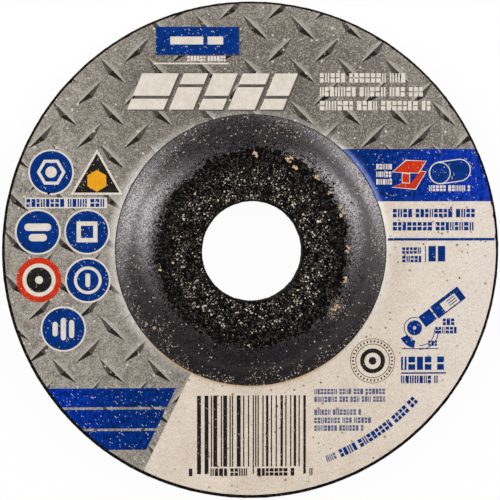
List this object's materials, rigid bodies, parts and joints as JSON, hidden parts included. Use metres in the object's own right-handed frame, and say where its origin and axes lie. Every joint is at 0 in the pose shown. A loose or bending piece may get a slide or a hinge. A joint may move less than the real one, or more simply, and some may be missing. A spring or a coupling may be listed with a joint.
{
  "type": "grinding disc",
  "caption": "Depressed-centre grinding disc: a moulded abrasive wheel with a dished hub, a plain arbor bore and a printed paper label glued on its back.",
  "frame": {"origin": "on the bore's axis at the grinding face, the lowest plane of the disc", "axes": "+Z along the bore's axis, out of the labelled back; +X to the right of the label's print and +Y to its top"},
  "size_m": [0.115, 0.115, 0.0111],
  "materials": {
    "abrasive": "rough dark grit in a resin bond",
    "label": "printed paper, satin, worn"
  },
  "bodies": {
    "root": {"abrasive_wheel": "abrasive", "paper_label": "label"}
  },
  "joints": []
}
